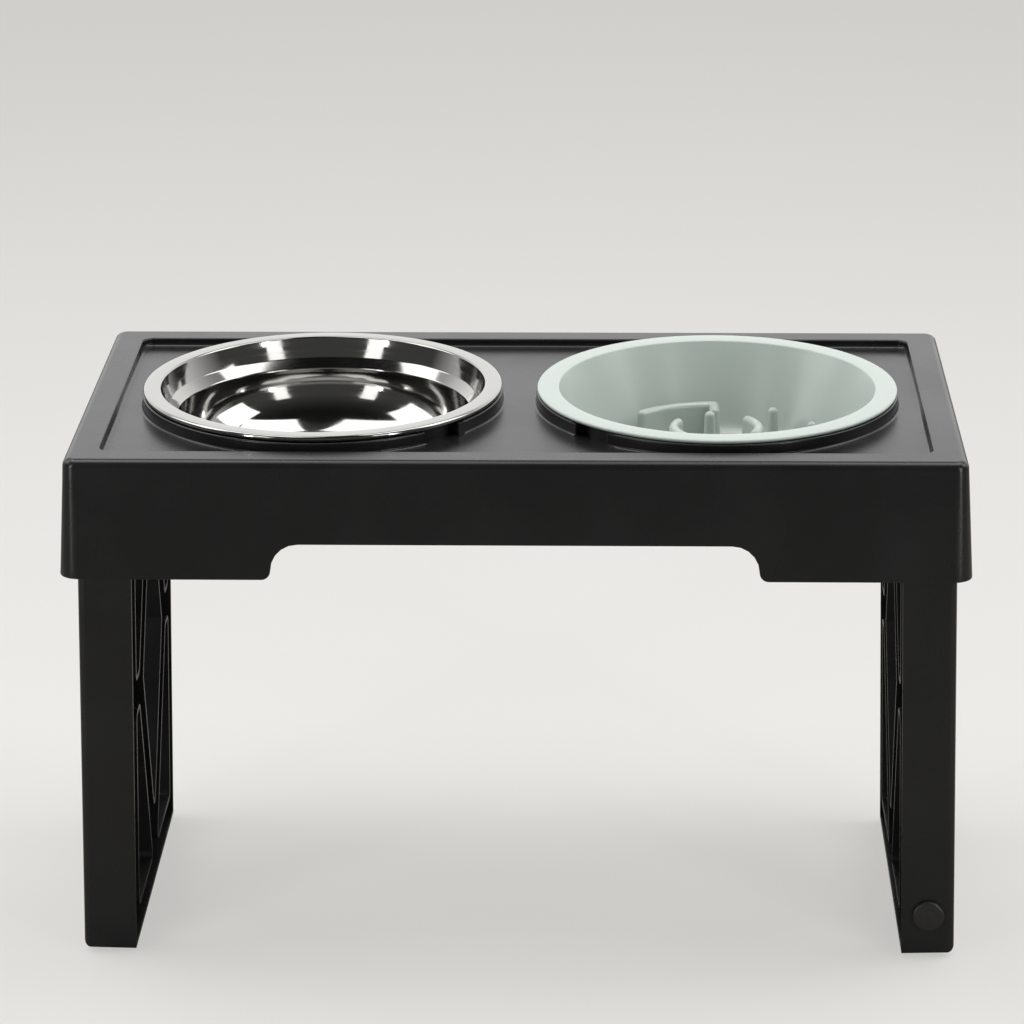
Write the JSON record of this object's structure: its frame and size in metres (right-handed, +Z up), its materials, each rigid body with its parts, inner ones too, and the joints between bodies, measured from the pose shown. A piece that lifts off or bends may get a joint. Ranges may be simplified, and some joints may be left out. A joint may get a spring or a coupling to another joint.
{
  "type": "dog feeder stand",
  "caption": "Raised pet feeder: moulded tray with a lift-out steel bowl and a lift-out slow feeder bowl on plug-in lattice legs with rubber feet",
  "frame": {"origin": "on the floor under the middle of the tray", "axes": "+X along the tray towards the slow feeder bowl, +Y to the back, +Z up"},
  "size_m": [0.498, 0.26, 0.311],
  "materials": {
    "black_plastic": "satin black injection-moulded polypropylene",
    "polished_steel": "mirror-polished stainless steel sheet",
    "sage_plastic": "semi-gloss pale grey-green moulded plastic",
    "black_rubber": "matt black rubber"
  },
  "bodies": {
    "tray": {"tray": "black_plastic"},
    "steel_bowl": {"steel_bowl": "polished_steel"},
    "slow_feeder_bowl": {"slow_feeder_bowl": "sage_plastic"},
    "left_leg": {"left_leg": "black_plastic", "left_leg_front_foot": "black_rubber", "left_leg_rear_foot": "black_rubber", "left_leg_lower_edge_foot": "black_rubber", "left_leg_upper_edge_foot": "black_rubber"},
    "right_leg": {"right_leg": "black_plastic", "right_leg_front_foot": "black_rubber", "right_leg_rear_foot": "black_rubber", "right_leg_lower_edge_foot": "black_rubber", "right_leg_upper_edge_foot": "black_rubber"}
  },
  "joints": [
    {"name": "steel_bowl_lift", "type": "slide", "parent": "tray", "child": "steel_bowl", "axis": [0, 0, 1], "range_m": [0, 0.07]},
    {"name": "slow_feeder_lift", "type": "slide", "parent": "tray", "child": "slow_feeder_bowl", "axis": [0, 0, 1], "range_m": [0, 0.07]},
    {"name": "left_leg_pull", "type": "slide", "parent": "tray", "child": "left_leg", "axis": [-0.0227, 0, -0.9997], "range_m": [0, 0.066]},
    {"name": "right_leg_pull", "type": "slide", "parent": "tray", "child": "right_leg", "axis": [0.0227, 0, -0.9997], "range_m": [0, 0.066]}
  ]
}
